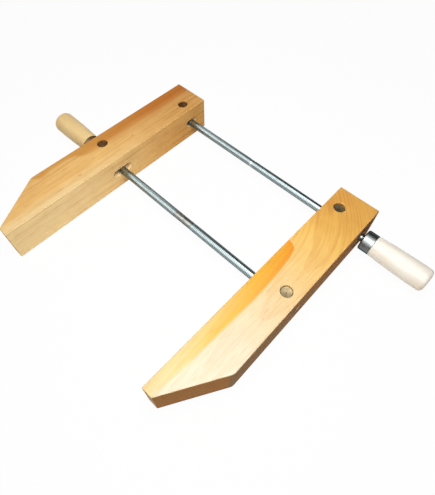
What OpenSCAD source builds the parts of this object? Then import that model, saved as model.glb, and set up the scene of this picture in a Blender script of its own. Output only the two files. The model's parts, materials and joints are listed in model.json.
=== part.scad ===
// Handscrew clamp: two wooden jaws on two opposed-thread spindles with swivel nuts.
// Millimetres. X runs along the spindles, -Y is the nose end of the jaws, Z is up.

/* [Jaws] */
// length of each jaw
jaw_l = 305; // [280:1:330]
// width of each jaw, inner face to outer face
jaw_w = 50.5; // [46:0.5:55]
// height of each jaw
jaw_h = 47; // [36:0.5:56]
// distance between the inner faces as stored
jaw_gap = 222.5; // [120:0.5:230]
// length of the bevel on the outer side of the nose
bevel_l = 63; // [30:1:100]
// width left at the nose
nose_w = 12.5; // [6:0.5:20]

/* [Swivel nuts] */
// diameter of a swivel nut
nut_d = 13; // [12:0.1:15]
// how far a nut's ends lie below the jaw's faces
nut_recess = 2; // [0.5:0.1:5]
// mid nut's axis from the jaw's rear end
mid_nut_back = 148.5; // [130:0.5:170]
// mid nut's axis from the jaw's outer face
mid_nut_inset = 15.4; // [12:0.1:20]
// rear nut's axis from the jaw's rear end
rear_nut_back = 26.5; // [20:0.5:40]
// rear nut's axis from the jaw's inner face
rear_nut_inset = 15.4; // [12:0.1:20]

/* [Slots] */
// angle the slots let a spindle swing each way
swing_deg = 14; // [6:0.5:18]
// gap around a spindle in its slot
slot_clear = 0.6; // [0.4:0.05:1]

/* [Spindles] */
// major diameter of the spindle's thread
spindle_d = 9.5; // [8:0.1:9.8]
// how far the free end stops inside the jaw's outer face, as stored
end_margin = 0.5; // [0:0.5:5]
// length of the plain middle between the mid spindle's two threads
mid_plain_l = 27; // [10:0.5:40]
// length of the plain middle between the rear spindle's two threads
rear_plain_l = 3; // [2:0.5:40]
// how far the plain middle lies below the thread's crests
plain_drop = 0.15; // [0.1:0.05:1]
// chamfer on the spindle's free end
end_chamfer = 1; // [0.3:0.1:2]
// diameter of the tang inside the handle
tang_d = 8; // [7:0.1:8]
// length of the tang
tang_l = 44; // [25:0.5:55]

/* [Handles] */
// free spindle between the jaw's outer face and the ferrule, as stored
ferrule_gap = 4; // [4:0.5:20]
// ferrule length
ferrule_l = 13; // [10:0.5:20]
// ferrule outside diameter
ferrule_d = 24.6; // [20:0.2:26]
// ferrule wall
ferrule_wall = 1.1; // [0.6:0.1:2]
// rounding of the ferrule's front edge
ferrule_round = 1.6; // [0.5:0.1:2.5]
// length of the grip behind the ferrule
handle_l = 65; // [45:1:90]
// grip's diameter at its thickest
handle_d = 27.6; // [26:0.2:32]
// how much of a half wave the grip's swell takes up
swell_deg = 112; // [90:1:150]
// rounding of the grip's end
handle_round = 3; // [1:0.5:6]
// cross pin diameter
pin_d = 3; // [2:0.1:3.5]
// cross pin from the ferrule's front
pin_back = 7; // [5:0.5:9]

/* [Fits] */
// radial clearance of a nut in its jaw
nut_clear = 0.05; // [0.02:0.01:0.1]
// radial clearance of a spindle in its nut
bore_clear = 0.05; // [0.02:0.01:0.1]
// radial clearance between the ferrule and what turns in it
ferrule_clear = 0.05; // [0.02:0.01:0.1]
// radial clearance of the tang and the pin in the handle
tang_clear = 0.02; // [0.01:0.01:0.1]
// end gap between the ferrule and the handle
shoulder_gap = 0.1; // [0.05:0.05:0.5]

/* [Hidden] */
$fn = 72;
swell_steps = 14;
round_steps = 5;
jaw_x = jaw_gap / 2;
rear_y = jaw_l / 2 - rear_nut_back;
mid_y = jaw_l / 2 - mid_nut_back;
rear_nut_x = rear_nut_inset;
mid_nut_x = jaw_w - mid_nut_inset;
axis_z = jaw_h / 2;
nut_l = jaw_h - 2 * nut_recess;
nut_bore = spindle_d + 2 * bore_clear;
slot_d = spindle_d + 2 * slot_clear;
spindle_r = spindle_d / 2;
tang_r = tang_d / 2;
plain_r = spindle_r - plain_drop;
spindle_reach = jaw_x + jaw_w - end_margin;
ferrule_reach = jaw_x + jaw_w + ferrule_gap;
tang_end = ferrule_reach + tang_l;
ferrule_r = ferrule_d / 2;
nose_r = ferrule_r - ferrule_wall - ferrule_clear;
nose_x = ferrule_reach + ferrule_wall + shoulder_gap;
grip_x = ferrule_reach + ferrule_l + shoulder_gap;
grip_end = grip_x + handle_l;
grip_r = handle_d / 2;
pin_x = ferrule_reach + pin_back;
pin_l = 2 * (nose_r - ferrule_clear);

function swell(u) = ferrule_r + (grip_r - ferrule_r) * sin(u * swell_deg);

// turns a profile of [radius, distance] points about the X axis
module turned(points) {
    rotate([0, 90, 0]) rotate_extrude() polygon(points);
}

// places a piece of the rear screw, whose handle is on the right
module on_rear() {
    translate([0, rear_y, axis_z]) children();
}

// places a piece of the mid screw, whose handle is on the left
module on_mid() {
    translate([0, mid_y, axis_z]) rotate([0, 0, 180]) children();
}

// the way a spindle passes through a jaw at any angle of its swing
module slot(x, y) {
    waist = slot_d / 2 / cos(swing_deg);
    mouth = waist + jaw_w * tan(swing_deg);
    translate([x, y, axis_z])
        linear_extrude(height = slot_d, center = true)
            polygon([
                [-jaw_w, -mouth], [0, -waist], [jaw_w, -mouth],
                [jaw_w, mouth], [0, waist], [-jaw_w, mouth],
            ]);
}

// one jaw, inner face on x = 0
module jaw() {
    difference() {
        linear_extrude(height = jaw_h)
            polygon([
                [0, -jaw_l / 2],
                [nose_w, -jaw_l / 2],
                [jaw_w, bevel_l - jaw_l / 2],
                [jaw_w, jaw_l / 2],
                [0, jaw_l / 2],
            ]);
        for (p = [[mid_nut_x, mid_y], [rear_nut_x, rear_y]]) {
            translate([p[0], p[1], -jaw_h / 2])
                cylinder(d = nut_d + 2 * nut_clear, h = 2 * jaw_h);
            slot(p[0], p[1]);
        }
    }
}

// one swivel nut on its own axis
module nut() {
    difference() {
        cylinder(d = nut_d, h = nut_l, center = true);
        rotate([0, 90, 0]) cylinder(d = nut_bore, h = 2 * nut_d, center = true);
    }
}

// one spindle, middle at the origin, handle end towards +X
module spindle(plain_l) {
    difference() {
        turned([
            [0, -spindle_reach],
            [spindle_r - end_chamfer, -spindle_reach],
            [spindle_r, end_chamfer - spindle_reach],
            [spindle_r, -plain_l / 2 - plain_drop],
            [plain_r, -plain_l / 2],
            [plain_r, plain_l / 2],
            [spindle_r, plain_l / 2 + plain_drop],
            [spindle_r, nose_x - shoulder_gap],
            [tang_r, nose_x - shoulder_gap],
            [tang_r, tang_end],
            [0, tang_end],
        ]);
        translate([pin_x, 0, 0]) pin_hole();
    }
}

module pin_hole() {
    cylinder(d = pin_d + 2 * tang_clear, h = 2 * ferrule_d, center = true);
}

// one wooden grip with the nose that the ferrule covers
module handle() {
    difference() {
        turned(concat(
            [[0, nose_x], [nose_r, nose_x], [nose_r, grip_x]],
            [for (i = [0:swell_steps])
                let (u = i / swell_steps)
                [swell(u), grip_x + u * (handle_l - handle_round)]],
            [for (i = [1:round_steps])
                let (a = 90 * i / round_steps)
                [swell(1) - handle_round * (1 - cos(a)),
                 grip_end - handle_round * (1 - sin(a))]],
            [[0, grip_end]]
        ));
        translate([ferrule_reach, 0, 0]) rotate([0, 90, 0])
            cylinder(r = tang_r + tang_clear, h = tang_l + shoulder_gap);
        translate([pin_x, 0, 0]) pin_hole();
    }
}

// one steel cup over the nose of a grip
module ferrule() {
    inner_r = nose_r + ferrule_clear;
    hole_r = spindle_r + ferrule_clear;
    turned(concat(
        [[hole_r, ferrule_reach]],
        [for (i = [0:round_steps])
            let (a = 90 * i / round_steps)
            [ferrule_r - ferrule_round * (1 - sin(a)),
             ferrule_reach + ferrule_round * (1 - cos(a))]],
        [
            [ferrule_r, ferrule_reach + ferrule_l],
            [inner_r, ferrule_reach + ferrule_l],
            [inner_r, ferrule_reach + ferrule_wall],
            [hole_r, ferrule_reach + ferrule_wall],
        ]
    ));
}

// one cross pin through nose and tang
module handle_pin() {
    translate([pin_x, 0, 0]) cylinder(d = pin_d, h = pin_l, center = true);
}

module right_jaw() {
    color([0.90, 0.70, 0.40]) translate([jaw_x, 0, 0]) jaw();
}

module left_jaw() {
    color([0.85, 0.64, 0.36]) mirror([1, 0, 0]) translate([jaw_x, 0, 0]) jaw();
}

module left_mid_nut() {
    color([0.45, 0.44, 0.42]) translate([-jaw_x - mid_nut_x, mid_y, axis_z]) nut();
}

module left_rear_nut() {
    color([0.45, 0.44, 0.42]) translate([-jaw_x - rear_nut_x, rear_y, axis_z]) nut();
}

module right_mid_nut() {
    color([0.45, 0.44, 0.42]) translate([jaw_x + mid_nut_x, mid_y, axis_z]) nut();
}

module right_rear_nut() {
    color([0.45, 0.44, 0.42]) translate([jaw_x + rear_nut_x, rear_y, axis_z]) nut();
}

module mid_spindle() {
    color([0.66, 0.70, 0.72]) on_mid() spindle(mid_plain_l);
}

module rear_spindle() {
    color([0.66, 0.70, 0.72]) on_rear() spindle(rear_plain_l);
}

module mid_handle() {
    color([0.93, 0.82, 0.64]) on_mid() handle();
}

module rear_handle() {
    color([0.93, 0.82, 0.64]) on_rear() handle();
}

module mid_ferrule() {
    color([0.75, 0.76, 0.78]) on_mid() ferrule();
}

module rear_ferrule() {
    color([0.75, 0.76, 0.78]) on_rear() ferrule();
}

module mid_handle_pin() {
    color([0.55, 0.55, 0.56]) on_mid() handle_pin();
}

module rear_handle_pin() {
    color([0.55, 0.55, 0.56]) on_rear() handle_pin();
}

left_jaw();
right_jaw();
left_mid_nut();
left_rear_nut();
right_mid_nut();
right_rear_nut();
mid_spindle();
rear_spindle();
mid_handle();
rear_handle();
mid_ferrule();
rear_ferrule();
mid_handle_pin();
rear_handle_pin();
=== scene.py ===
"""Looks of a wooden handscrew clamp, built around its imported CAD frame, and a plain stage for it."""

import json
import math

import bmesh
import bpy
from bpy.props import FloatProperty, FloatVectorProperty, IntProperty, PointerProperty
from mathutils import Matrix, Vector


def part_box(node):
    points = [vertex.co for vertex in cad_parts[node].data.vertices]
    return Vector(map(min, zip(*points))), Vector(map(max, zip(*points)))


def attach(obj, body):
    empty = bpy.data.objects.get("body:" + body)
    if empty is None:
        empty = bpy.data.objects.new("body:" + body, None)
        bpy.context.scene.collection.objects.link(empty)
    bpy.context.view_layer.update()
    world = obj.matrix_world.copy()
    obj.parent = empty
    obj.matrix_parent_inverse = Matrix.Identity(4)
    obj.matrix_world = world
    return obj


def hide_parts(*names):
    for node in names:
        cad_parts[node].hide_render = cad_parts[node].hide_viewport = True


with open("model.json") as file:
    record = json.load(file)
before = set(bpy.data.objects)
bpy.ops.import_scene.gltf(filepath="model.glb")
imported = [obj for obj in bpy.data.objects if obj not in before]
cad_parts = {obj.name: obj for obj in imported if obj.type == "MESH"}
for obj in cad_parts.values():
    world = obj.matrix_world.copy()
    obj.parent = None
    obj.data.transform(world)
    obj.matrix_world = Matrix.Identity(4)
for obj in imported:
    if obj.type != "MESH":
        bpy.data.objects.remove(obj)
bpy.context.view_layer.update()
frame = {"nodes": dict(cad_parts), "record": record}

bl_info = {
    "name": "Handscrew clamp",
    "version": (1, 0, 0),
    "blender": (4, 5, 0),
    "location": "3D View > Sidebar > Handscrew",
    "description": "Dresses the CAD frame of a wooden handscrew clamp",
    "category": "Object",
}

JAW_LOW, JAW_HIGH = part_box("right_jaw")
NUT_LOW, NUT_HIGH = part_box("right_mid_nut")
SPINDLE_LOW, SPINDLE_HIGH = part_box("rear_spindle")
HANDLE_LOW, HANDLE_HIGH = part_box("rear_handle")
FERRULE_LOW, FERRULE_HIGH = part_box("rear_ferrule")
NUTS = ("left_mid_nut", "left_rear_nut", "right_mid_nut", "right_rear_nut")
SCREWS = (("rear", 1), ("mid", -1))  # name, and the side its handle is on

# What a jaw's wood is placed by, in millimetres.
INNER_SIDE, OUTER_SIDE, TOP = JAW_LOW.x * 1000, JAW_HIGH.x * 1000, JAW_HIGH.z * 1000
HALF_JAW = 153.0  # half the length, rounded up

# How the wood of each jaw differs, with lengths and places in millimetres.
# finish: name of the material
# edge: side that the heartwood lies along
# heartwood: (place along the jaw, width of the heartwood on the top)
# border, softening: half the width of the heartwood's border, and (place, place, times) over which it softens
# inmost, fade: what is left of the stain 25 mm from the edge, and how much it pales at the nose
# deepens: places between which the heartwood goes from pale to deep
# pith, lean: centre of the growth rings and turn of their axis
# sweep: how far the grain swings sideways at the rear end
# rear_shade, shade_from: how much darker the rear end is, and where that begins
# sapwood: distances from the edge over which the wood turns to sapwood
# figure: strength of the few darker streaks
# side_shade, gloss: how much painted shade darkens the outer side and bevel, and how much the lacquer shines
WOODS = {
    "right": {
        "finish": "lacquered_maple_golden",
        "edge": INNER_SIDE,
        "heartwood": ((-153, 12), (-124, 14), (-76, 16), (-10, 17.5), (25, 16), (44, 12.5), (52, 5), (56, -6),
                      (153, -8)),
        "border": 1.0,
        "softening": (30, -100, 3.0),
        "inmost": 1.0,
        "fade": 0.38,
        "deepens": (-110, 45),
        "pith": (146, 60, -40),
        "lean": (math.radians(1.2), 0, 0),
        "sweep": 60,
        "rear_shade": 0.38,
        "shade_from": 55,
        "sapwood": (-8, 12),
        "figure": 0.22,
        "side_shade": 1.0,
        "gloss": 1.0,
    },
    "left": {
        "finish": "lacquered_maple_honey",
        "edge": -OUTER_SIDE,
        "heartwood": ((-153, -6), (-96, -4), (-80, 10), (-66, 7), (-51, 6), (-34, 9), (-22, 18), (-5, 21),
                      (20, 20), (60, 20), (127, 20), (153, 19)),
        "border": 3.5,
        "softening": (-10, 50, 3.6),
        "inmost": 0.3,
        "fade": 0.0,
        "deepens": (-40, 90),
        "pith": (-190, 0, 70),
        "lean": (math.radians(-1), 0, math.radians(1.5)),
        "sweep": 0,
        "rear_shade": 0.36,
        "shade_from": -10,
        "sapwood": (30, 49),
        "figure": 0.36,
        "side_shade": 0.3,
        "gloss": 0.22,
    },
}


def linear(code):
    """Linear colour of an sRGB hex value."""
    parts = [int(code[i:i + 2], 16) / 255 for i in (0, 2, 4)]
    return [p / 12.92 if p <= 0.04045 else ((p + 0.055) / 1.055) ** 2.4 for p in parts]


def opaque(colour, share=1.0):
    """A colour with full alpha, made darker or lighter by a share."""
    return (*[min(1, part * share) for part in colour], 1)


def size(name, description, default):
    """A length that a user may change."""
    return FloatProperty(name=name, description=description, default=default, min=0, precision=5,
                         subtype="DISTANCE", unit="LENGTH")


def tint(name, description, code):
    """A colour that a user may change."""
    return FloatVectorProperty(name=name, description=description, default=linear(code), size=3,
                               min=0, max=1, subtype="COLOR")


class JawSettings(bpy.types.PropertyGroup):
    """Sizes and wood colours of the two jaws."""
    nose_width: size("Nose width", "Width left at the nose", 0.0125)
    bevel_length: size("Bevel length", "Length of the bevel on the outer side of the nose", 0.063)
    corner_radius: size("Corner radius", "Rounding where the bevel meets the outer face", 0.010)
    edge_easing: size("Edge easing", "Rounding of the long edges", 0.0009)
    rim_easing: size("Rim easing", "Rounding of the mouths of holes and slots", 0.0009)
    hole_radius: size("Hole radius", "Radius of the holes for the swivel nuts", 0.00655)
    slot_radius: size("Slot radius", "Half the height of the slots for the spindles", 0.00535)
    swing: FloatProperty(name="Swing", description="Angle the slots let a spindle swing each way",
                         default=math.radians(14), subtype="ANGLE")
    right_pale: tint("Right pale", "Pale wood of the right jaw", "F6C864")
    right_sap: tint("Right sapwood", "Sapwood of the right jaw", "D9D3B6")
    right_dark: tint("Right dark", "Dark grain of the right jaw", "D08F3E")
    right_heart_pale: tint("Right heartwood, pale", "Heartwood of the right jaw towards the nose", "E0BB2E")
    right_heart_deep: tint("Right heartwood, deep", "Heartwood of the right jaw towards the rear", "EC941A")
    left_pale: tint("Left pale", "Pale wood of the left jaw", "F8CB80")
    left_sap: tint("Left sapwood", "Sapwood of the left jaw", "FADFA6")
    left_dark: tint("Left dark", "Dark grain of the left jaw", "C98C48")
    left_heart_pale: tint("Left heartwood, pale", "Heartwood of the left jaw towards the nose", "DBA153")
    left_heart_deep: tint("Left heartwood, deep", "Heartwood of the left jaw towards the rear", "C86806")
    # painted shade: the next two colours darken the outer side and bevel, as shade would
    outer: tint("Outer shade", "How much browner the outer faces are", "E9B690")
    side_shade_colour: tint("Grime", "Dirt of handling on the outer sides", "93836C")
    # painted light: the slot colour brightens the shaded inside of the slots
    slot: tint("Slot", "Bare wood inside the slots", "FFDCA4")


class NutSettings(bpy.types.PropertyGroup):
    """Sizes and steel colours of the swivel nuts."""
    chamfer: size("Chamfer", "Chamfer on a nut's ends", 0.0006)
    bore_radius: size("Bore radius", "Radius of the cross bore", 0.0048)
    # the warm tan of these steel colours is partly painted reflection of the wood around the nuts
    bright: tint("Bright", "Fresh turned steel", "B5A27C")
    dull: tint("Dull", "Oiled steel in the tool marks", "64553F")
    # painted shade: the left nuts' darker, browner steel stands in for the shade and dark reflections on them
    left_shaded_bright: tint("Old bright", "Turned steel of the left nuts, which have browned", "6B4D32")
    left_shaded_dull: tint("Old dull", "Oiled steel in the tool marks of the left nuts", "2E1B0C")


class SpindleSettings(bpy.types.PropertyGroup):
    """Sizes and plating colours of the two spindles."""
    root_radius: size("Root radius", "Radius at the bottom of the thread", 0.0043)
    mid_plain: size("Mid plain length", "Length of the plain middle between the mid spindle's threads",
                    0.027)
    rear_plain: size("Rear plain length", "Length of the plain middle between the rear spindle's threads",
                     0.003)
    plain_drop: size("Plain drop", "How far the plain middle lies below the crests", 0.00015)
    end_chamfer: size("End chamfer", "Chamfer on the free end", 0.001)
    tang_radius: size("Tang radius", "Radius of the tang inside the handle", 0.004)
    pitch: size("Pitch", "Distance from one turn of the thread to the next", 0.002)
    root_width: size("Root width", "Width of the thread ridge at its foot", 0.00185)
    crest_width: size("Crest width", "Width of the thread ridge at its crest", 0.0014)
    points: IntProperty(name="Points", description="Points in one turn of the thread", default=24, min=8)
    bright: tint("Bright", "Fresh zinc plate", "A7B3B4")
    dull: tint("Dull", "Dulled zinc plate", "7B8788")
    stained: tint("Stained", "Stained plate on the mid spindle's plain middle", "82827F")
    fresh: tint("Fresh", "Plate on the rear spindle's plain middle", "A9B4B3")


class HandleSettings(bpy.types.PropertyGroup):
    """Sizes and wood colours of the two handles, and of the ferrules on them."""
    nose_radius: size("Nose radius", "Radius of the wood under the ferrule", 0.01115)
    bore_radius: size("Bore radius", "Radius of the bore for the tang", 0.00402)
    grip_radius: size("Grip radius", "Grip's radius at its thickest", 0.0138)
    end_round: size("End rounding", "Rounding of the grip's end", 0.0048)
    swell: FloatProperty(name="Swell", description="How much of a half wave the grip's swell takes up",
                         default=math.radians(112), subtype="ANGLE")
    ferrule_wall: size("Ferrule wall", "Thickness of the ferrule", 0.0011)
    ferrule_round: size("Ferrule rounding", "Rounding of the ferrule's front edge", 0.0016)
    # the rear handle's near-white wood is partly pale birch and partly painted light, standing in for the
    # strong light on it
    rear_lit_pale: tint("Rear pale", "Pale wood of the rear handle", "FFFDF8")
    rear_lit_dark: tint("Rear dark", "Grain of the rear handle", "F4E5C9")
    mid_pale: tint("Mid pale", "Pale wood of the mid handle", "F8D898")
    mid_dark: tint("Mid dark", "Grain of the mid handle", "E6BF7C")
    ferrule_bright: tint("Ferrule bright", "Drawn steel", "868B8A")
    ferrule_dull: tint("Ferrule dull", "Drawing marks in the steel", "616665")
    # painted shade: the mid ferrule's darker, browner steel stands in for its shade and its reflection of the
    # brown jaw
    mid_ferrule_shaded_bright: tint("Mid ferrule bright", "Browned steel of the mid ferrule", "6E5D47")
    mid_ferrule_shaded_dull: tint("Mid ferrule dull", "Drawing marks in the browned steel", "3C2C1B")


class StageSettings(bpy.types.PropertyGroup):
    """Camera and lamps."""
    camera_place: FloatVectorProperty(name="Camera place", description="Where the camera stands",
                                      default=(0.2080, -0.1664, 0.4126), subtype="TRANSLATION", unit="LENGTH")
    camera_pitch: FloatProperty(name="Camera pitch", description="How far the camera looks down",
                                default=math.radians(55.51), subtype="ANGLE")
    camera_turn: FloatProperty(name="Camera turn", description="Camera's turn to the left of straight ahead",
                               default=math.radians(43.67), subtype="ANGLE")
    lens: FloatProperty(name="Lens", description="Focal length in millimetres", default=29.38)
    shift_x: FloatProperty(name="Shift across", description="Sideways shift of the lens", default=0.0110)
    shift_y: FloatProperty(name="Shift up", description="Upward shift of the lens", default=-0.0567)
    overhead_power: FloatProperty(name="Overhead lamp", description="Power of the lamp overhead",
                                  default=1.2, unit="POWER")
    fill_power: FloatProperty(name="Fill lamp", description="Power of the lamp above the camera",
                              default=1.98, unit="POWER")
    flash_power: FloatProperty(name="Flash lamp", description="Power of the small lamp at the camera",
                               default=0.5, unit="POWER")
    ambient: FloatProperty(name="Ambient", description="Strength of the light from all round", default=0.14)


def settings(group):
    """The scene's settings for one group of pieces."""
    return getattr(bpy.context.scene, "handscrew_" + group)


def add_node(tree, kind, inputs=None, **values):
    """Adds a node with its settings, and sets or links its inputs.

    An input is a value, a socket, a node, which stands for its first output in use, or a list of these.
    """
    node = tree.nodes.new(kind)
    for key, value in values.items():
        setattr(node, key, value)
    for key, value in (inputs or {}).items():
        for source in value if isinstance(value, list) else [value]:
            if isinstance(source, bpy.types.Node):
                source = next(output for output in source.outputs if output.enabled)
            if isinstance(source, bpy.types.NodeSocket):
                tree.links.new(source, node.inputs[key])
            else:
                node.inputs[key].default_value = source
    return node


def new_material(name):
    """A material and its empty tree."""
    material = bpy.data.materials.new(name)
    material.use_nodes = True
    material.node_tree.nodes.clear()
    return material, material.node_tree


def surface(tree, looks):
    """Ends a tree in one shader, whose even values are set on the shader's own sockets."""
    shader = add_node(tree, "ShaderNodeBsdfPrincipled", looks)
    add_node(tree, "ShaderNodeOutputMaterial", {"Surface": shader})


def millimetres(tree):
    """A piece's own coordinates in millimetres, and the direction that its surface faces."""
    coordinate = add_node(tree, "ShaderNodeTexCoord").outputs
    mm = add_node(tree, "ShaderNodeVectorMath", {0: coordinate["Object"], "Scale": 1000.0}, operation="SCALE")
    return mm, coordinate["Normal"]


def mottle(tree, mm, stretch, detail, low, high, most=1.0, roughness=0.5):
    """Noise with so many waves per millimetre along each axis, as a mask from 0 at low to most at high."""
    drawn = add_node(tree, "ShaderNodeVectorMath", {0: mm, 1: stretch}, operation="MULTIPLY")
    noise = add_node(tree, "ShaderNodeTexNoise",
                     {"Vector": drawn, "Scale": 1.0, "Detail": detail, "Roughness": roughness})
    return add_node(tree, "ShaderNodeMapRange", {"Value": noise, 1: low, 2: high, 4: most})


def paint(tree, base, layers):
    """Lays colours over a base colour, each through a mask that is the product of its factors."""
    for colour, mask, *factors in layers:
        for factor in factors:
            mask = add_node(tree, "ShaderNodeMath", {0: mask, 1: factor}, operation="MULTIPLY")
        base = add_node(tree, "ShaderNodeMix", {0: mask, 6: base, 7: colour}, data_type="RGBA")
    return base


def maple_grain(tree, mm, along, wood):
    """Coordinates that follow a jaw's grain, its streaks, its late growth and how dark they make it."""
    # the grain sweeps sideways towards the rear end
    bend = add_node(tree, "ShaderNodeMapRange", {"Value": along, 1: 45.0, 2: HALF_JAW})
    bend = add_node(tree, "ShaderNodeMath", {0: bend, 1: 2.0}, operation="POWER")
    bend = add_node(tree, "ShaderNodeMath", {0: bend, 1: wood["sweep"]}, operation="MULTIPLY")
    aside = add_node(tree, "ShaderNodeCombineXYZ", {0: bend})
    swept = add_node(tree, "ShaderNodeVectorMath", {0: mm, 1: aside}, operation="ADD")

    # streaks about 0.8 mm across and 70 mm long
    streak = mottle(tree, swept, (1.2, 0.014, 1.2), 4, 0.32, 0.72, roughness=0.65)
    # slow change of tone, about 12 mm across and 200 mm long
    tone = mottle(tree, swept, (0.08, 0.005, 0.08), 3, 0.3, 0.7)
    # a few darker streaks, about 3 mm across and 120 mm long
    few = mottle(tree, swept, (0.3, 0.008, 0.3), 3, 0.5, 0.68, roughness=0.6)
    # blotches of tone, about 20 mm wide
    blotch = mottle(tree, mm, (0.055, 0.04, 0.055), 2, 0.35, 0.65)

    # growth rings 1.6 mm apart, each dark towards its outer edge
    about = add_node(tree, "ShaderNodeMapping",
                     {"Vector": swept, "Location": wood["pith"], "Rotation": wood["lean"]},
                     vector_type="TEXTURE")
    spread = add_node(tree, "ShaderNodeVectorMath", {0: about, 1: (1, 0, 1)}, operation="MULTIPLY")
    radius = add_node(tree, "ShaderNodeVectorMath", {0: spread}, operation="LENGTH")
    drift = add_node(tree, "ShaderNodeMath", {0: tone, 1: 0.8, 2: radius}, operation="MULTIPLY_ADD")
    count = add_node(tree, "ShaderNodeMath", {0: drift, 1: 1.6}, operation="DIVIDE")
    ring = add_node(tree, "ShaderNodeMath", {0: count}, operation="FRACT")
    late = add_node(tree, "ShaderNodeMapRange", {"Value": ring, 1: 0.5, 2: 0.95},
                    interpolation_type="SMOOTHSTEP")

    rearward = add_node(tree, "ShaderNodeMapRange", {"Value": along, 1: wood["shade_from"], 2: 125.0},
                        interpolation_type="SMOOTHSTEP")
    darkness = add_node(tree, "ShaderNodeMath", {0: rearward, 1: wood["rear_shade"]}, operation="MULTIPLY")
    for part, weight in ((late, 0.2), (streak, 0.22), (tone, 0.12), (blotch, 0.14), (few, wood["figure"])):
        darkness = add_node(tree, "ShaderNodeMath", {0: part, 1: weight, 2: darkness},
                            operation="MULTIPLY_ADD")
    darkness.use_clamp = True
    return swept, streak, late, darkness


def maple_heartwood(tree, mm, along, inward, darkness, wood, pale, deep, sap):
    """Heartwood along one edge, narrower below the top, with a ragged border: its colour and its masks."""
    # its reach from the edge, by a curve that spans the jaw and widths from least to most
    least, most = -10, 30
    place = add_node(tree, "ShaderNodeMapRange", {"Value": along, 1: -HALF_JAW, 2: HALF_JAW})
    outline = add_node(tree, "ShaderNodeFloatCurve", {"Value": place})
    line = outline.mapping.curves[0]
    spots = [((y + HALF_JAW) / (2 * HALF_JAW), (width - least) / (most - least))
             for y, width in wood["heartwood"]]
    line.points[0].location, line.points[1].location = spots[0], spots[-1]
    for spot in spots[1:-1]:
        line.points.new(*spot)
    outline.mapping.update()
    border = wood["border"]
    unevenness = 2 + border
    reach = add_node(tree, "ShaderNodeMath", {0: outline, 1: most - least, 2: least - unevenness / 2},
                     operation="MULTIPLY_ADD")
    ragged = add_node(tree, "ShaderNodeVectorMath", {0: mm, 1: (0.25, 0.02, 0.25)}, operation="MULTIPLY")
    ragged = add_node(tree, "ShaderNodeTexNoise", {"Vector": ragged, "Scale": 1.0, "Detail": 3.0})
    reach = add_node(tree, "ShaderNodeMath", {0: ragged, 1: unevenness, 2: reach}, operation="MULTIPLY_ADD")
    up = add_node(tree, "ShaderNodeSeparateXYZ", {0: mm}).outputs["Z"]
    depth = add_node(tree, "ShaderNodeMath", {0: TOP, 1: up}, operation="SUBTRACT")
    deeper = add_node(tree, "ShaderNodeMath", {0: depth, 1: 0.55, 2: inward}, operation="MULTIPLY_ADD")
    within = add_node(tree, "ShaderNodeMath", {0: reach, 1: deeper}, operation="SUBTRACT")

    # the border is softer towards one end, and the stain is weaker at the nose and away from the edge
    soft_from, soft_to, softest = wood["softening"]
    soft = add_node(tree, "ShaderNodeMapRange",
                    {"Value": along, 1: soft_from, 2: soft_to, 3: 1.0, 4: softest})
    fringe = add_node(tree, "ShaderNodeMath", {0: within, 1: soft}, operation="DIVIDE")
    stain = add_node(tree, "ShaderNodeMapRange", {"Value": fringe, 1: -border, 2: border},
                     interpolation_type="SMOOTHSTEP")
    nose = add_node(tree, "ShaderNodeMapRange", {"Value": along, 1: -75.0, 2: -150.0, 3: 1.0, 4: 0.35})
    inner = add_node(tree, "ShaderNodeMapRange",
                     {"Value": inward, 1: 10.0, 2: 25.0, 3: 1.0, 4: wood["inmost"]})

    # it deepens towards the rear and its border, and pales at the nose away from its border
    pale_at, deep_at = wood["deepens"]
    rearward = add_node(tree, "ShaderNodeMapRange", {"Value": along, 1: pale_at, 2: deep_at})
    core = add_node(tree, "ShaderNodeMapRange", {"Value": within, 1: 1.0, 2: 13.0, 3: 1.0, 4: 0.6})
    inside = add_node(tree, "ShaderNodeMapRange", {"Value": within, 1: 3.0, 2: 13.0})
    forward = add_node(tree, "ShaderNodeMapRange", {"Value": along, 1: -10.0, 2: -100.0, 4: wood["fade"]})
    heart = paint(tree, opaque(pale), [(opaque(deep), rearward, core), (opaque(sap), inside, forward)])
    grained = paint(tree, (1, 1, 1, 1), [((0.8, 0.7, 0.6, 1), darkness)])
    heart = add_node(tree, "ShaderNodeMix", {0: 1.0, 6: heart, 7: grained}, data_type="RGBA",
                     blend_type="MULTIPLY")
    return heart, stain, nose, inner


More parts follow.
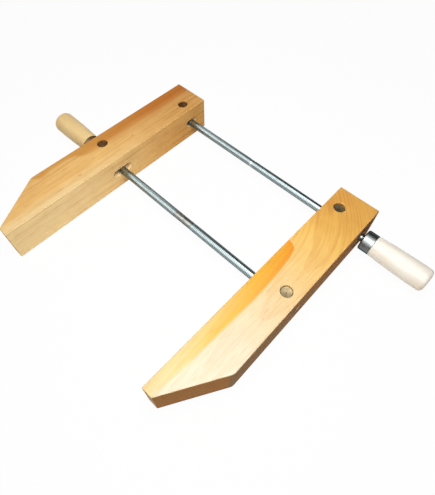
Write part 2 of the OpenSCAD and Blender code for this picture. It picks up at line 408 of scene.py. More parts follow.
def lacquered_maple(side, jaws):
    """Planed maple under a thin clear lacquer.

    The growth rings are shells about a leaning pith, so the top shows lines and arches and the ends show
    curves. Long fine streaks run with the grain, heartwood stains one edge, and the lacquer gives a soft
    gloss.
    """
    wood = WOODS[side]
    pale, sap, dark, heart_pale, heart_deep = [
        getattr(jaws, side + "_" + tone) for tone in ("pale", "sap", "dark", "heart_pale", "heart_deep")]
    material, tree = new_material(wood["finish"])
    mm, normal = millimetres(tree)
    across, along, up = add_node(tree, "ShaderNodeSeparateXYZ", {0: mm}).outputs
    inward = add_node(tree, "ShaderNodeMath", {0: across, 1: wood["edge"]}, operation="SUBTRACT")
    swept, streak, late, darkness = maple_grain(tree, mm, along, wood)

    # sapwood is paler and plainer, towards the nose and on the side away from the heartwood
    sap_from, sap_to = wood["sapwood"]
    sappy = add_node(tree, "ShaderNodeMapRange", {"Value": inward, 1: sap_from, 2: sap_to},
                     interpolation_type="SMOOTHSTEP")
    noseward = add_node(tree, "ShaderNodeMapRange", {"Value": along, 1: 110.0, 2: -100.0},
                        interpolation_type="SMOOTHSTEP")
    sappy = add_node(tree, "ShaderNodeMath", {0: sappy, 1: noseward}, operation="MULTIPLY")
    plain = add_node(tree, "ShaderNodeMapRange", {"Value": sappy, 3: 1.0, 4: 0.55})
    heartwood = maple_heartwood(tree, mm, along, inward, darkness, wood, heart_pale, heart_deep, sap)
    # pores, drawn coarser than real ones so that they show: dashes about 0.8 mm across and 9 mm long
    pore = mottle(tree, swept, (0.9, 0.08, 0.9), 1, 0.54, 0.68, most=0.2)
    # mineral flecks, about 2 mm across and 9 mm long
    fleck = mottle(tree, swept, (0.33, 0.07, 0.33), 2, 0.69, 0.8, most=0.5)
    colour = paint(tree, opaque(pale), [(opaque(sap), sappy), (opaque(dark), darkness, plain), heartwood,
                                        (opaque(dark), pore), (opaque(dark, 0.6), fleck)])

    # painted shade on the outer side and bevel, and the bevel shows its grain as dark lines
    facing = add_node(tree, "ShaderNodeSeparateXYZ", {0: normal}).outputs
    away = add_node(tree, "ShaderNodeMath", {0: facing["X"], 1: math.copysign(1, wood["edge"])},
                    operation="MULTIPLY")
    away = add_node(tree, "ShaderNodeMapRange", {"Value": away, 1: 0.35, 2: 0.8, 4: wood["side_shade"]})
    far = add_node(tree, "ShaderNodeMath", {0: across}, operation="ABSOLUTE")
    outer = add_node(tree, "ShaderNodeMapRange", {"Value": far, 1: OUTER_SIDE - 3, 2: OUTER_SIDE - 1})
    bevel = add_node(tree, "ShaderNodeMapRange", {"Value": along, 1: -86.0, 2: -90.0})
    # painted shade: where the outer side and bevel face outwards, they are multiplied by a brown shade
    # colour, and the side is then mixed in streaks towards a dark greyish brown
    shaded_faces = add_node(tree, "ShaderNodeMath", {0: outer, 1: bevel}, operation="MAXIMUM")
    shaded_faces = add_node(tree, "ShaderNodeMath", {0: shaded_faces, 1: away}, operation="MULTIPLY")
    colour = add_node(tree, "ShaderNodeMix", {0: shaded_faces, 6: colour, 7: opaque(jaws.outer)}, data_type="RGBA",
                      blend_type="MULTIPLY")
    streaked_shade = add_node(tree, "ShaderNodeMapRange", {"Value": streak, 3: 0.75, 4: 0.4})
    # end grain drinks the lacquer and looks darker
    end = add_node(tree, "ShaderNodeMath", {0: facing["Y"]}, operation="ABSOLUTE")
    end = add_node(tree, "ShaderNodeMapRange", {"Value": end, 1: 0.7, 2: 0.98, 4: 0.05})
    # painted light: the inside of the slots is painted paler, in place of light reaching into them
    level = add_node(tree, "ShaderNodeMath", {0: up, 1: TOP / 2}, operation="SUBTRACT")
    level = add_node(tree, "ShaderNodeMath", {0: level}, operation="ABSOLUTE")
    bounds = ((level, 9.0, 8.0), (far, INNER_SIDE + 0.3, INNER_SIDE + 1.2), (along, 145.0, 144.0),
              (along, -41.0, -40.0))
    slot = [add_node(tree, "ShaderNodeMapRange", {"Value": value, 1: start, 2: full})
            for value, start, full in bounds]
    slot.append(add_node(tree, "ShaderNodeMath", {0: 1.0, 1: outer}, operation="SUBTRACT"))
    colour = paint(tree, colour, [(opaque(dark, 0.45), bevel, away, 0.45, late),
                                  (opaque(jaws.side_shade_colour), streaked_shade, outer, away),
                                  (opaque(dark, 0.62), end), (opaque(jaws.slot), *slot)])

    # the broad faces have most of the lacquer
    flat = add_node(tree, "ShaderNodeMath", {0: facing["Z"]}, operation="ABSOLUTE")
    shine = add_node(tree, "ShaderNodeMapRange", {"Value": flat, 1: 0.4, 2: 0.9, 4: 0.4 * wood["gloss"]})
    coat = add_node(tree, "ShaderNodeMapRange", {"Value": flat, 1: 0.4, 2: 0.9, 4: 0.15 * wood["gloss"]})
    rough = add_node(tree, "ShaderNodeMapRange", {"Value": streak, 3: 0.4, 4: 0.5})
    relief = add_node(tree, "ShaderNodeMath", {0: late, 1: 0.4, 2: streak}, operation="MULTIPLY_ADD")
    bump = add_node(tree, "ShaderNodeBump", {"Height": relief, "Strength": 0.15, "Distance": 0.00008})
    surface(tree, {"Base Color": colour, "Roughness": rough, "Normal": bump, "IOR": 1.5,
                   "Specular IOR Level": shine, "Coat Weight": coat, "Coat Roughness": 0.3, "Coat IOR": 1.5})
    return material


def turned_birch(name, pale, dark):
    """Birch turned on a lathe and sanded, with a thin sealer: fine grain along the axis, faint tool rings."""
    material, tree = new_material(name)
    mm, _ = millimetres(tree)
    # pores and streaks about 1 mm across and 30 mm long
    streak = mottle(tree, mm, (0.03, 0.9, 0.9), 4, 0.35, 0.75, roughness=0.6)
    # slow change of tone, about 11 mm across and 80 mm long
    tone = mottle(tree, mm, (0.012, 0.09, 0.09), 2, 0.3, 0.7)
    share = add_node(tree, "ShaderNodeMath", {0: streak, 1: 0.5}, operation="MULTIPLY")
    share = add_node(tree, "ShaderNodeMath", {0: tone, 1: 0.45, 2: share}, operation="MULTIPLY_ADD")
    # darker and warmer towards the end
    end = HANDLE_HIGH.x * 1000
    browned = (dark[0] * 0.9, dark[1] * 0.76, dark[2] * 0.62, 1)
    toward_end = add_node(tree, "ShaderNodeSeparateXYZ", {0: mm}).outputs["X"]
    toward_end = add_node(tree, "ShaderNodeMath", {0: toward_end}, operation="ABSOLUTE")
    toward_end = add_node(tree, "ShaderNodeMapRange", {"Value": toward_end, 1: end - 24, 2: end, 4: 0.5})
    colour = paint(tree, opaque(pale), [(opaque(dark), share), (browned, toward_end, tone)])
    # tool rings 0.7 mm apart along the turned profile
    turned = add_node(tree, "ShaderNodeUVMap", uv_map="Turned")
    reach = add_node(tree, "ShaderNodeSeparateXYZ", {0: turned}).outputs["Y"]
    ring = add_node(tree, "ShaderNodeMath", {0: reach, 1: math.tau / 0.7}, operation="MULTIPLY")
    ring = add_node(tree, "ShaderNodeMath", {0: ring}, operation="SINE")
    relief = add_node(tree, "ShaderNodeMath", {0: ring, 1: 0.25, 2: streak}, operation="MULTIPLY_ADD")
    bump = add_node(tree, "ShaderNodeBump", {"Height": relief, "Strength": 0.2, "Distance": 0.0001})
    rough = add_node(tree, "ShaderNodeMapRange", {"Value": streak, 3: 0.48, 4: 0.62})
    surface(tree, {"Base Color": colour, "Roughness": rough, "Normal": bump, "IOR": 1.5, "Coat Weight": 0.1,
                   "Coat Roughness": 0.4})
    return material


def zinc_plated_steel(name, bright, dull, stained, plain_half):
    """Steel with a rolled thread under bright zinc plate: cool grey, mottled, spotted on the plain middle."""
    material, tree = new_material(name)
    mm, _ = millimetres(tree)
    # mottling of the plate, patches about 4 mm long and 1.5 mm across
    patch = mottle(tree, mm, (0.25, 0.7, 0.7), 4, 0.3, 0.7, roughness=0.65)
    share = add_node(tree, "ShaderNodeMath", {0: patch, 1: 0.7}, operation="MULTIPLY")
    # the plain middle is smoother, with spots of stain
    end = plain_half * 1000
    reach = add_node(tree, "ShaderNodeSeparateXYZ", {0: mm}).outputs["X"]
    reach = add_node(tree, "ShaderNodeMath", {0: reach}, operation="ABSOLUTE")
    plain = add_node(tree, "ShaderNodeMapRange", {"Value": reach, 1: end + 1, 2: end - 1})
    spot = add_node(tree, "ShaderNodeMapRange", {"Value": patch, 1: 0.35, 2: 0.75})
    spotted = paint(tree, opaque(stained, 1.45), [(opaque(stained, 0.6), spot)])
    colour = paint(tree, opaque(bright), [(opaque(dull), share), (spotted, plain)])
    rough = add_node(tree, "ShaderNodeMapRange", {"Value": share, 3: 0.21, 4: 0.32})
    smoother = add_node(tree, "ShaderNodeMapRange", {"Value": plain, 3: 1.0, 4: 0.6})
    rough = add_node(tree, "ShaderNodeMath", {0: rough, 1: smoother}, operation="MULTIPLY")
    bump = add_node(tree, "ShaderNodeBump", {"Height": patch, "Strength": 0.15, "Distance": 0.00005})
    # painted reflection: the dark specular tint darkens the grazing edges, in place of dark surroundings
    # mirrored there
    surface(tree, {"Base Color": colour, "Roughness": rough, "Normal": bump, "Metallic": 1.0,
                   "Specular Tint": opaque(linear("3A4346"))})
    return material


def ringed_steel(name, bright, dull, spacing, rough_low, rough_high, anisotropic):
    """Steel cut or polished as it spins: fine rings around the axis stretch each highlight across them."""
    material, tree = new_material(name)
    # rings of uneven depth along the turned profile, with their spacing in millimetres
    turned = add_node(tree, "ShaderNodeUVMap", uv_map="Turned")
    reach = add_node(tree, "ShaderNodeSeparateXYZ", {0: turned}).outputs["Y"]
    ring = add_node(tree, "ShaderNodeTexNoise",
                    {"W": reach, "Scale": 1 / spacing, "Detail": 3.0, "Roughness": 0.7},
                    noise_dimensions="1D")
    ring = add_node(tree, "ShaderNodeMapRange", {"Value": ring, 1: 0.3, 2: 0.7})
    # stains and oil, patches about 4 mm wide
    place = add_node(tree, "ShaderNodeTexCoord").outputs["Object"]
    stain = add_node(tree, "ShaderNodeTexNoise", {"Vector": place, "Scale": 260.0, "Detail": 4.0})
    stain = add_node(tree, "ShaderNodeMapRange", {"Value": stain, 1: 0.35, 2: 0.7})
    share = add_node(tree, "ShaderNodeMath", {0: ring, 1: 0.45}, operation="MULTIPLY")
    share = add_node(tree, "ShaderNodeMath", {0: stain, 1: 0.5, 2: share}, operation="MULTIPLY_ADD")
    colour = paint(tree, opaque(bright), [(opaque(dull), share)])
    rough = add_node(tree, "ShaderNodeMapRange", {"Value": share, 3: rough_low, 4: rough_high})
    bump = add_node(tree, "ShaderNodeBump", {"Height": ring, "Strength": 0.12, "Distance": 0.00002})
    around = add_node(tree, "ShaderNodeTangent", direction_type="UV_MAP", uv_map="Turned")
    # painted reflection: the dark specular tint darkens the grazing edges, in place of dark surroundings
    # mirrored there
    surface(tree, {"Base Color": colour, "Roughness": rough, "Normal": bump, "Tangent": around,
                   "Metallic": 1.0, "Anisotropic": anisotropic, "Specular Tint": opaque(linear("4A5356"))})
    return material


def drawn_wire_steel(name):
    """Plain drawn steel wire, cut to length: grey with fine lines along it."""
    material, tree = new_material(name)
    # die lines about 0.3 mm apart, along the pin's upright axis
    place = add_node(tree, "ShaderNodeTexCoord").outputs["Object"]
    lines = add_node(tree, "ShaderNodeVectorMath", {0: place, 1: (3300, 3300, 60)}, operation="MULTIPLY")
    lines = add_node(tree, "ShaderNodeTexNoise", {"Vector": lines, "Scale": 1.0, "Detail": 2.0})
    colour = paint(tree, opaque(linear("A9A9AB")), [(opaque(linear("6F6F72")), lines)])
    rough = add_node(tree, "ShaderNodeMapRange", {"Value": lines, 3: 0.3, 4: 0.5})
    surface(tree, {"Base Color": colour, "Roughness": rough, "Metallic": 1.0})
    return material


def pale_floor():
    """Floor that is white to the eye and in reflections, apart from the object's shadow on it."""
    material, tree = new_material("pale_floor")
    path = add_node(tree, "ShaderNodeLightPath").outputs
    seen = path["Is Camera Ray"]
    for ray in ("Is Glossy Ray", "Is Transmission Ray"):
        seen = add_node(tree, "ShaderNodeMath", {0: seen, 1: path[ray]}, operation="MAXIMUM")
    share = add_node(tree, "ShaderNodeMath", {0: seen, 1: 0.96}, operation="MULTIPLY")
    lit = add_node(tree, "ShaderNodeBsdfDiffuse", {"Color": (0.88, 0.88, 0.88, 1)})
    glow = add_node(tree, "ShaderNodeEmission", {"Strength": 1.0})
    mixed = add_node(tree, "ShaderNodeMixShader", {0: share, 1: lit, 2: glow})
    add_node(tree, "ShaderNodeOutputMaterial", {"Surface": mixed})
    return material


def studio_room(ambient):
    """World that is white to the eye and lights evenly, with panels and a dim ceiling that metal mirrors."""
    world = bpy.data.worlds.new("room")
    world.use_nodes = True
    tree = world.node_tree
    tree.nodes.clear()
    toward = add_node(tree, "ShaderNodeTexCoord").outputs["Generated"]
    toward = add_node(tree, "ShaderNodeSeparateXYZ", {0: toward}).outputs
    # each panel lies where its ramps over a direction meet: (axis, start, end, strength at the end)
    panels = (
        (("Y", 0.4, -0.25, 2.6), ("Z", 0.25, 0.4, 1.0)),  # bright panel in front
        (("X", -0.22, -0.16, 1.2), ("Z", 0.84, 0.9, 1.0)),  # pale panel overhead on the right
        (("X", -0.4, -0.56, 1.5),),  # pale wall on the left
        (("Z", 0.2, 0.12, 1.0),),  # white backdrop near the horizon
    )
    sky = 0.04  # dim ceiling
    for panel in panels:
        light = 1.0
        for axis, start, end, strength in panel:
            ramp = add_node(tree, "ShaderNodeMapRange",
                            {"Value": toward[axis], 1: start, 2: end, 4: strength})
            light = add_node(tree, "ShaderNodeMath", {0: light, 1: ramp}, operation="MULTIPLY")
        sky = add_node(tree, "ShaderNodeMath", {0: sky, 1: light}, operation="MAXIMUM")
    path = add_node(tree, "ShaderNodeLightPath").outputs
    mirrored = add_node(tree, "ShaderNodeMath", {0: path["Is Glossy Ray"], 1: path["Is Transmission Ray"]},
                        operation="MAXIMUM")
    sky = add_node(tree, "ShaderNodeMix", {0: mirrored, 2: ambient, 3: sky})
    sky = add_node(tree, "ShaderNodeMix", {0: path["Is Camera Ray"], 2: sky, 3: 0.97})
    shine = add_node(tree, "ShaderNodeBackground", {"Color": (1, 1, 1, 1), "Strength": sky})
    add_node(tree, "ShaderNodeOutputWorld", {"Surface": shine})
    return world


def new_piece(name, bm):
    """An object with the finished bmesh, closed and facing outwards."""
    bmesh.ops.recalc_face_normals(bm, faces=bm.faces)
    mesh = bpy.data.meshes.new(name)
    bm.to_mesh(mesh)
    bm.free()
    piece = bpy.data.objects.new(name, mesh)
    bpy.context.scene.collection.objects.link(piece)
    return piece


def freeze(piece):
    """Turns a piece and its modifiers into one plain mesh."""
    graph = bpy.context.evaluated_depsgraph_get()
    mesh = bpy.data.meshes.new_from_object(piece.evaluated_get(graph), preserve_all_data_layers=True,
                                           depsgraph=graph)
    piece.modifiers.clear()
    old, piece.data = piece.data, mesh
    bpy.data.meshes.remove(old)
    mesh.name = piece.name


def cut(piece, cutters):
    """Takes the cutters out of a piece and removes them."""
    for cutter in cutters:
        modifier = piece.modifiers.new("Cut", "BOOLEAN")
        modifier.operation, modifier.solver, modifier.object = "DIFFERENCE", "EXACT", cutter
    freeze(piece)
    for cutter in cutters:
        bpy.data.meshes.remove(cutter.data)
    if not piece.data.polygons:
        raise RuntimeError(piece.name + " was cut away")


def smooth(piece, angle):
    """Smooth shading that breaks at edges sharper than the angle, in degrees, and keeps flat faces flat."""
    piece.data.polygons.foreach_set("use_smooth", [True] * len(piece.data.polygons))
    piece.data.set_sharp_from_angle(angle=math.radians(angle))
    modifier = piece.modifiers.new("Flat faces", "WEIGHTED_NORMAL")
    modifier.keep_sharp = True
    freeze(piece)


def dress(piece, node, material):
    """Gives a piece its material and puts it in the place of a CAD node."""
    record = frame["record"]
    body = [b for b, nodes in record["behaviour"]["bodies"].items() if node in nodes][0]
    piece.data.materials.clear()
    piece.data.materials.append(material)
    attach(piece, body)
    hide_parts(node)


def turned_piece(name, profile, axis, centre, closed=False, segments=96):
    """A lathe-turned piece from (radius, reach) points, with reach along the axis.

    Its UV map has the turn across and the distance along the profile, in millimetres, up.
    """
    bm = bmesh.new()
    layer = bm.loops.layers.uv.new("Turned")
    rings = []
    for radius, reach in profile:
        ring = []
        for i in range(segments if radius > 0 else 1):
            turn = math.tau * i / segments
            a, b = radius * math.cos(turn), radius * math.sin(turn)
            ring.append(bm.verts.new(centre + Vector((reach, a, b) if axis == "X" else (a, b, reach))))
        rings.append(ring)
    far = [0.0]
    steps = list(zip(profile, profile[1:] + (profile[:1] if closed else [])))
    for (r0, s0), (r1, s1) in steps:
        far.append(far[-1] + 1000 * math.hypot(r1 - r0, s1 - s0))
    for k in range(len(steps)):
        low, high = rings[k], rings[(k + 1) % len(rings)]
        for i in range(segments):
            j = (i + 1) % segments
            corners = [(low[i % len(low)], i, far[k])]
            if len(low) > 1:
                corners.append((low[j], i + 1, far[k]))
            if len(high) > 1:
                corners.append((high[j], i + 1, far[k + 1]))
            corners.append((high[i % len(high)], i, far[k + 1]))
            face = bm.faces.new([c[0] for c in corners])
            for loop, (_, u, v) in zip(face.loops, corners):
                loop[layer].uv = (u / segments, v)
    return new_piece(name, bm)


def lofted_piece(name, sections):
    """A closed piece through sections that have the same number of points."""
    bm = bmesh.new()
    rings = [[bm.verts.new(p) for p in section] for section in sections]
    count = len(rings[0])
    for low, high in zip(rings, rings[1:]):
        for i in range(count):
            j = (i + 1) % count
            bm.faces.new((low[i], low[j], high[j], high[i]))
    bm.faces.new(rings[0])
    bm.faces.new(rings[-1])
    return new_piece(name, bm)


def eased_rim(ease):
    """A rounded rim, from a hole's wall to the face it opens in: (widening, depth under the face)."""
    turns = [math.radians(14 * i) for i in range(6)]
    return [(ease * (1 - math.cos(turn)), ease * (1 - math.sin(turn))) for turn in turns]


def hole_cutter(jaws, x, y):
    """Cutter for a swivel nut's hole, with eased rims."""
    ease = jaws.rim_easing
    rim = [(jaws.hole_radius + wider, depth) for wider, depth in eased_rim(ease)]
    radius, depth = rim[-1]
    rim.append((radius + ease, depth - ease * 0.6))
    lower, upper = rim[::-1], [(r, JAW_HIGH.z - d) for r, d in rim]
    profile = [(0, lower[0][1])] + lower + upper + [(0, upper[-1][1])]
    return turned_piece("cutter", profile, "Z", Vector((x, y, 0)), segments=72)


def slot_cutter(jaws, x, y):
    """Cutter for the slot a spindle swings in: a round-ended slot that widens both ways from the nut."""
    inner, outer, ease = JAW_LOW.x, JAW_HIGH.x, jaws.rim_easing
    height = SPINDLE_LOW.z + (SPINDLE_HIGH.z - SPINDLE_LOW.z) / 2
    least_half = 0.0001  # keeps the two ends apart where the slot is narrowest
    stations = [(inner - ease * 1.2, ease * 1.9)]
    stations += [(inner + depth, wider) for wider, depth in reversed(eased_rim(ease))]
    stations += [(x, 0)] + [(inner + outer - station, wider) for station, wider in reversed(stations)]
    sections = []
    for station, wider in stations:
        half = max(abs(station - x) * math.tan(jaws.swing), least_half)
        radius = jaws.slot_radius + wider
        section = []
        for end in (1, -1):
            for i in range(17):
                turn = math.pi * (i / 16 - 0.5)
                section.append((station, y + end * (half + radius * math.cos(turn)),
                                height + end * radius * math.sin(turn)))
        sections.append(section)
    return lofted_piece("cutter", sections)


def jaw_blank(jaws):
    """The right jaw's planed block, with its bevel, rounded corner and eased edges."""
    inner, outer, front, rear = JAW_LOW.x, JAW_HIGH.x, JAW_LOW.y, JAW_HIGH.y
    nose = Vector((inner + jaws.nose_width, front))
    corner = Vector((outer, front + jaws.bevel_length))
    lean = math.atan2(corner.x - nose.x, corner.y - nose.y)
    setback = jaws.corner_radius * math.tan(lean / 2)
    middle = Vector((outer - jaws.corner_radius, corner.y + setback))
    outline = [(inner, front), tuple(nose)]
    for i in range(9):
        turn = -lean * (1 - i / 8)
        outline.append((middle.x + jaws.corner_radius * math.cos(turn),
                        middle.y + jaws.corner_radius * math.sin(turn)))
    outline += [(outer, rear), (inner, rear)]
    blank = lofted_piece("blank", [[(px, py, z) for px, py in outline] for z in (JAW_LOW.z, JAW_HIGH.z)])
    bevel = blank.modifiers.new("Eased edges", "BEVEL")
    bevel.width, bevel.segments, bevel.limit_method = jaws.edge_easing, 3, "ANGLE"
    bevel.angle_limit = math.radians(35)
    freeze(blank)
    return blank


def thread_tree():
    """Geometry nodes that wind a right-hand ridge and a left-hand ridge around a spindle's core."""
    tree = bpy.data.node_groups.new("Thread ridges", "GeometryNodeTree")
    tree.interface.new_socket("Geometry", in_out="OUTPUT", socket_type="NodeSocketGeometry")
    for name, kind in (("Geometry", "Geometry"), ("Pitch", "Float"), ("Middle radius", "Float"),
                       ("Ridge height", "Float"), ("Root width", "Float"), ("Crest width", "Float"),
                       ("Start", "Float"), ("Right length", "Float"), ("Left length", "Float"),
                       ("Points", "Int"), ("Place", "Vector"), ("Material", "Material")):
        tree.interface.new_socket(name, in_out="INPUT", socket_type="NodeSocket" + kind)
    given = add_node(tree, "NodeGroupInput").outputs
    section = add_node(tree, "GeometryNodeCurvePrimitiveQuadrilateral",
                       {"Height": given["Ridge height"], "Bottom Width": given["Root width"],
                        "Top Width": given["Crest width"], "Offset": 0.0}, mode="TRAPEZOID")
    section = add_node(tree, "GeometryNodeTransform", {"Geometry": section, "Rotation": (0, 0, -math.pi / 2)})
    ridges = []
    for side in ("Right", "Left"):
        length = given[side + " length"]
        turns = add_node(tree, "ShaderNodeMath", {0: length, 1: given["Pitch"]}, operation="DIVIDE")
        helix = add_node(tree, "GeometryNodeCurveSpiral",
                         {"Resolution": given["Points"], "Rotations": turns, "Height": length,
                          "Start Radius": given["Middle radius"], "End Radius": given["Middle radius"],
                          "Reverse": True})
        helix = add_node(tree, "GeometryNodeSetCurveNormal", {"Curve": helix}, mode="Z_UP")
        # the ridge runs out over the last turn at each end, down into the core
        done = add_node(tree, "GeometryNodeSplineParameter").outputs["Factor"]
        left = add_node(tree, "ShaderNodeMath", {0: 1.0, 1: done}, operation="SUBTRACT")
        near = add_node(tree, "ShaderNodeMath", {0: done, 1: left}, operation="MINIMUM")
        near = add_node(tree, "ShaderNodeMath", {0: near, 1: turns}, operation="MULTIPLY")
        full = add_node(tree, "ShaderNodeMapRange", {"Value": near, 1: 0.0, 2: 0.8, 3: 0.15, 4: 1.0})
        drop = add_node(tree, "ShaderNodeMath", {0: full, 1: 1.0}, operation="SUBTRACT")
        where = add_node(tree, "GeometryNodeInputPosition")
        where = add_node(tree, "ShaderNodeVectorMath", {0: where, 1: (0.12, 0.12, 0.0)}, operation="MULTIPLY")
        where = add_node(tree, "ShaderNodeVectorMath", {0: where, "Scale": drop}, operation="SCALE")
        helix = add_node(tree, "GeometryNodeSetPosition", {"Geometry": helix, "Offset": where})
        ridge = add_node(tree, "GeometryNodeCurveToMesh",
                         {"Curve": helix, "Profile Curve": section, "Scale": full, "Fill Caps": True})
        start = add_node(tree, "ShaderNodeCombineXYZ", {0: given["Start"]})
        ridge = add_node(tree, "GeometryNodeTransform",
                         {"Geometry": ridge, "Translation": start, "Rotation": (0, math.pi / 2, 0)})
        if side == "Left":
            ridge = add_node(tree, "GeometryNodeTransform", {"Geometry": ridge, "Scale": (-1, 1, 1)})
            ridge = add_node(tree, "GeometryNodeFlipFaces", {"Mesh": ridge})
        ridges.append(ridge)
    both = add_node(tree, "GeometryNodeJoinGeometry", {0: ridges})
    both = add_node(tree, "GeometryNodeTransform", {"Geometry": both, "Translation": given["Place"]})
    whole = add_node(tree, "GeometryNodeJoinGeometry", {0: [given["Geometry"], both]})
    whole = add_node(tree, "GeometryNodeRealizeInstances", {"Geometry": whole})
    whole = add_node(tree, "GeometryNodeSetMaterial", {"Geometry": whole, "Material": given["Material"]})
    add_node(tree, "NodeGroupOutput", {0: whole})
    return tree


def axis_point(node):
    """Point of a node's lengthwise axis on the mid-plane between the jaws."""
    low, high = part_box(node)
    return Vector((0, (low.y + high.y) / 2, (low.z + high.z) / 2))


class HANDSCREW_OT_jaws(bpy.types.Operator):
    """Builds both wooden jaws with their bevels, nut holes and slots"""
    bl_idname = "handscrew.jaws"
    bl_label = "Jaws"

    def execute(self, context):
        jaws = settings("jaws")
        blank = jaw_blank(jaws)
        cutters = []
        for node in ("right_mid_nut", "right_rear_nut"):
            low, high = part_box(node)
            x, y = (low.x + high.x) / 2, (low.y + high.y) / 2
            cutters += [hole_cutter(jaws, x, y), slot_cutter(jaws, x, y)]
        cut(blank, cutters)
        for side in WOODS:
            bm = bmesh.new()
            bm.from_mesh(blank.data)
            if side == "left":
                bmesh.ops.transform(bm, matrix=Matrix.Scale(-1, 4, (1, 0, 0)), verts=bm.verts)
            jaw = new_piece(side + "_jaw_planed", bm)
            smooth(jaw, 40)
            dress(jaw, side + "_jaw", lacquered_maple(side, jaws))
        bpy.data.meshes.remove(blank.data)
        return {"FINISHED"}


class HANDSCREW_OT_nuts(bpy.types.Operator):
    """Builds the four turned swivel nuts with their cross bores"""
    bl_idname = "handscrew.nuts"
    bl_label = "Swivel nuts"

    def execute(self, context):
        nuts = settings("nuts")
        turning = {"spacing": 0.5, "rough_low": 0.28, "rough_high": 0.38, "anisotropic": 0.2}
        steels = {"right": ringed_steel("turned_steel", nuts.bright, nuts.dull, **turning),
                  # the left nuts' steel is painted shade
                  "left": ringed_steel("browned_steel", nuts.left_shaded_bright, nuts.left_shaded_dull, **turning)}
        radius, half = (NUT_HIGH.x - NUT_LOW.x) / 2, (NUT_HIGH.z - NUT_LOW.z) / 2
        dish = 0.00025  # hollow in the middle of a faced end
        face = [(radius * k / 8, half - dish * (1 - k / 8)) for k in range(1, 7)]
        rim = [(radius, half - nuts.chamfer), (radius - nuts.chamfer, half)]
        upper = rim + face[::-1] + [(0, half - dish)]
        profile = [(r, -s) for r, s in reversed(upper)] + upper
        past = 0.01  # how far the bore's cutter reaches each way, past the nut
        bore_profile = [(0, -past), (nuts.bore_radius, -past), (nuts.bore_radius, past), (0, past)]
        for node in NUTS:
            low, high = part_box(node)
            centre = (low + high) / 2
            nut = turned_piece(node + "_turned", profile, "Z", centre, segments=64)
            cut(nut, [turned_piece("cutter", bore_profile, "X", centre, segments=64)])
            smooth(nut, 30)
            dress(nut, node, steels[node.split("_")[0]])
        return {"FINISHED"}


class HANDSCREW_OT_spindles(bpy.types.Operator):
    """Builds both spindles: a turned core, and thread ridges of opposite hands wound by geometry nodes"""
    bl_idname = "handscrew.spindles"
    bl_label = "Spindles"

    def execute(self, context):
        spindles = settings("spindles")
        tree = thread_tree()
        crest = (SPINDLE_HIGH.z - SPINDLE_LOW.z) / 2
        root, plain, chamfer = spindles.root_radius, crest - spindles.plain_drop, spindles.end_chamfer
        start, end, tang = -SPINDLE_LOW.x, FERRULE_LOW.x, SPINDLE_HIGH.x
        slope = 0.0004  # length over which the plain middle drops to the root
        collar, collar_foot, thread_end = 0.0015, 0.0022, 0.0025  # distances in front of the ferrule
        sunk = 0.00015  # how far the ridge's foot lies inside the core
        finishes = {"mid": ("zinc_plated_steel_stained", spindles.stained, spindles.mid_plain / 2),
                    "rear": ("zinc_plated_steel", spindles.fresh, spindles.rear_plain / 2)}
        for name, side in SCREWS:
            finish, middle, half = finishes[name]
            zinc = zinc_plated_steel(finish, spindles.bright, spindles.dull, middle, half)
            core = [
                (0, -start), (crest - chamfer, -start), (root, chamfer * 1.8 - start),
                (root, -half - slope), (plain, -half), (plain, half), (root, half + slope),
                (root, end - collar_foot), (crest, end - collar), (crest, end + chamfer),
                (spindles.tang_radius, end + chamfer), (spindles.tang_radius, tang), (0, tang),
            ]
            place = axis_point(name + "_spindle")
            piece = turned_piece(name + "_spindle_threaded", [(r, s * side) for r, s in core], "X", place,
                                 segments=48)
            reach = {side: end - thread_end - half, -side: start - chamfer * 1.2 - half}
            modifier = piece.modifiers.new("Thread", "NODES")
            modifier.node_group = tree
            values = {
                "Pitch": spindles.pitch, "Middle radius": (crest + root - sunk) / 2,
                "Ridge height": crest - root + sunk, "Root width": spindles.root_width,
                "Crest width": spindles.crest_width, "Start": half, "Right length": reach[1],
                "Left length": reach[-1], "Points": spindles.points, "Place": place, "Material": zinc,
            }
            for socket in tree.interface.items_tree:
                if socket.in_out == "INPUT" and socket.name in values:
                    modifier[socket.identifier] = values[socket.name]
            freeze(piece)
            smooth(piece, 35)
            dress(piece, name + "_spindle", zinc)
        return {"FINISHED"}


class HANDSCREW_OT_handles(bpy.types.Operator):
    """Builds both turned wooden handles"""
    bl_idname = "handscrew.handles"
    bl_label = "Handles"

    def execute(self, context):
        handles = settings("handles")
        # the rear handle's wood is partly painted light
        woods = {"rear": turned_birch("turned_birch_pale", handles.rear_lit_pale, handles.rear_lit_dark),
                 "mid": turned_birch("turned_birch_warm", handles.mid_pale, handles.mid_dark)}
        room = 0.0001  # left in front of the spindle's end and behind the ferrule
        lip = 0.0003  # how far the shoulder stands back from the ferrule's outside
        dome = 0.0002  # how far the end bulges past its rounding
        neck = (FERRULE_HIGH.z - FERRULE_LOW.z) / 2
        bore, nose, rounding = handles.bore_radius, handles.nose_radius, handles.end_round
        front, end = HANDLE_LOW.x, HANDLE_HIGH.x
        inmost, shoulder = SPINDLE_HIGH.x + room, FERRULE_HIGH.x + room
        profile = [(0, inmost), (bore, inmost), (bore, front), (nose, front), (nose, shoulder),
                   (neck - lip, shoulder)]
        swelling = handles.grip_radius - neck
        for i in range(1, 41):
            u = i / 40
            profile.append((neck + swelling * math.sin(u * handles.swell),
                            shoulder + u * (end - rounding - shoulder)))
        rim = profile[-1][0]
        for i in range(1, 10):
            turn = math.radians(10 * i)
            profile.append((rim - rounding * (1 - math.cos(turn)),
                            end - rounding * (1 - math.sin(turn)) - dome))
        profile += [(rim * 0.35, end), (0, end)]
        for name, side in SCREWS:
            handle = turned_piece(name + "_handle_turned", [(r, s * side) for r, s in profile], "X",
                                  axis_point(name + "_spindle"))
            smooth(handle, 40)
            dress(handle, name + "_handle", woods[name])
        return {"FINISHED"}


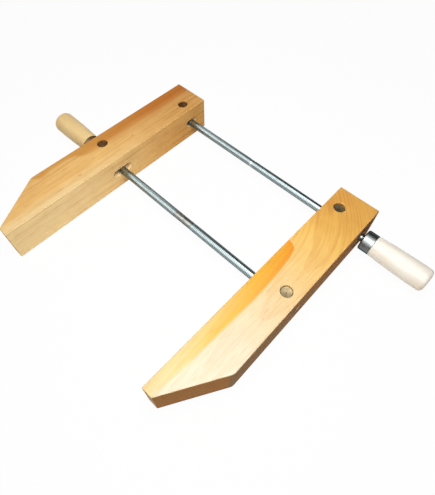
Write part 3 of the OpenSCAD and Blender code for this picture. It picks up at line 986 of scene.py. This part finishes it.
class HANDSCREW_OT_ferrules(bpy.types.Operator):
    """Builds both drawn steel ferrules"""
    bl_idname = "handscrew.ferrules"
    bl_label = "Ferrules"

    def execute(self, context):
        handles = settings("handles")
        drawing = {"spacing": 1.2, "rough_low": 0.3, "rough_high": 0.4, "anisotropic": 0.1}
        steels = {
            "rear": ringed_steel("drawn_steel", handles.ferrule_bright, handles.ferrule_dull, **drawing),
            # the mid ferrule's steel is painted shade and painted reflection
            "mid": ringed_steel("browned_drawn_steel", handles.mid_ferrule_shaded_bright,
                                handles.mid_ferrule_shaded_dull, **drawing),
        }
        room = 0.00005  # left around the spindle
        ease = 0.0003  # chamfer on the back rim
        radius = (FERRULE_HIGH.z - FERRULE_LOW.z) / 2
        hole = (SPINDLE_HIGH.z - SPINDLE_LOW.z) / 2 + room
        front, back = FERRULE_LOW.x, FERRULE_HIGH.x
        wall, rounding = handles.ferrule_wall, handles.ferrule_round
        profile = [(hole, front)]
        for i in range(10):
            turn = math.radians(10 * i)
            profile.append((radius - rounding * (1 - math.sin(turn)),
                            front + rounding * (1 - math.cos(turn))))
        profile += [(radius, back - ease), (radius - ease, back), (radius - wall, back),
                    (radius - wall, front + wall), (hole, front + wall)]
        for name, side in SCREWS:
            ferrule = turned_piece(name + "_ferrule_drawn", [(r, s * side) for r, s in profile], "X",
                                   axis_point(name + "_ferrule"), closed=True)
            smooth(ferrule, 40)
            dress(ferrule, name + "_ferrule", steels[name])
        return {"FINISHED"}


class HANDSCREW_OT_pins(bpy.types.Operator):
    """Gives the two hidden cross pins their steel"""
    bl_idname = "handscrew.pins"
    bl_label = "Cross pins"

    def execute(self, context):
        steel = drawn_wire_steel("drawn_wire_steel")
        for name, _ in SCREWS:
            pin = frame["nodes"][name + "_handle_pin"]
            pin.data.materials.clear()
            pin.data.materials.append(steel)
        return {"FINISHED"}


class HANDSCREW_OT_stage(bpy.types.Operator):
    """Builds the pale floor, the room, the lamps and the camera"""
    bl_idname = "handscrew.stage"
    bl_label = "Stage"

    def execute(self, context):
        stage, scene = settings("stage"), context.scene
        bm = bmesh.new()
        bmesh.ops.create_grid(bm, x_segments=1, y_segments=1, size=4)
        floor = new_piece("floor", bm)
        floor.data.materials.append(pale_floor())
        scene.world = studio_room(stage.ambient)

        for name, place, aim, width, power in (
                ("overhead_lamp", (0.02, 0.08, 0.75), (0.02, 0.03, 0), 0.45, stage.overhead_power),
                ("fill_lamp", (0.12, -0.08, 0.56), (-0.02, 0.03, 0.02), 0.2, stage.fill_power),
                ("flash_lamp", (0.21, -0.17, 0.43), (-0.05, 0.03, 0.02), 0.06, stage.flash_power)):
            lamp = bpy.data.lights.new(name, "AREA")
            lamp.shape, lamp.size, lamp.energy = "DISK", width, power
            holder = bpy.data.objects.new(name, lamp)
            holder.location = place
            holder.rotation_euler = (Vector(aim) - Vector(place)).to_track_quat("-Z", "Y").to_euler()
            holder.visible_camera = False
            scene.collection.objects.link(holder)

        camera = bpy.data.cameras.new("camera")
        camera.lens, camera.sensor_width = stage.lens, 36
        camera.shift_x, camera.shift_y = stage.shift_x, stage.shift_y
        camera.clip_start, camera.clip_end = 0.01, 50
        holder = bpy.data.objects.new("camera", camera)
        holder.location = stage.camera_place
        holder.rotation_euler = (math.pi / 2 - stage.camera_pitch, 0, stage.camera_turn)
        scene.collection.objects.link(holder)
        scene.camera = holder
        scene.view_settings.view_transform = "Standard"
        return {"FINISHED"}


OPERATORS = (HANDSCREW_OT_jaws, HANDSCREW_OT_nuts, HANDSCREW_OT_spindles, HANDSCREW_OT_handles,
             HANDSCREW_OT_ferrules, HANDSCREW_OT_pins, HANDSCREW_OT_stage)
GROUPS = {"jaws": JawSettings, "nuts": NutSettings, "spindles": SpindleSettings, "handles": HandleSettings,
          "stage": StageSettings}


class HANDSCREW_PT_pieces(bpy.types.Panel):
    """Lists the clamp's pieces and their settings"""
    bl_idname = "HANDSCREW_PT_pieces"
    bl_label = "Handscrew clamp"
    bl_space_type = "VIEW_3D"
    bl_region_type = "UI"
    bl_category = "Handscrew"

    def draw(self, context):
        for operator in OPERATORS:
            self.layout.operator(operator.bl_idname)
        for group, kind in GROUPS.items():
            box = self.layout.box()
            box.label(text=group.capitalize())
            for name in kind.__annotations__:
                box.prop(settings(group), name)


def register():
    for kind in (*GROUPS.values(), *OPERATORS, HANDSCREW_PT_pieces):
        bpy.utils.register_class(kind)
    for group, kind in GROUPS.items():
        setattr(bpy.types.Scene, "handscrew_" + group, PointerProperty(type=kind))


def unregister():
    for group in GROUPS:
        delattr(bpy.types.Scene, "handscrew_" + group)
    for kind in (HANDSCREW_PT_pieces, *reversed(OPERATORS), *reversed(list(GROUPS.values()))):
        bpy.utils.unregister_class(kind)


def main():
    register()
    bpy.ops.handscrew.jaws()
    bpy.ops.handscrew.nuts()
    bpy.ops.handscrew.spindles()
    bpy.ops.handscrew.handles()
    bpy.ops.handscrew.ferrules()
    bpy.ops.handscrew.pins()
    bpy.ops.handscrew.stage()


if __name__ == "__main__":
    main()
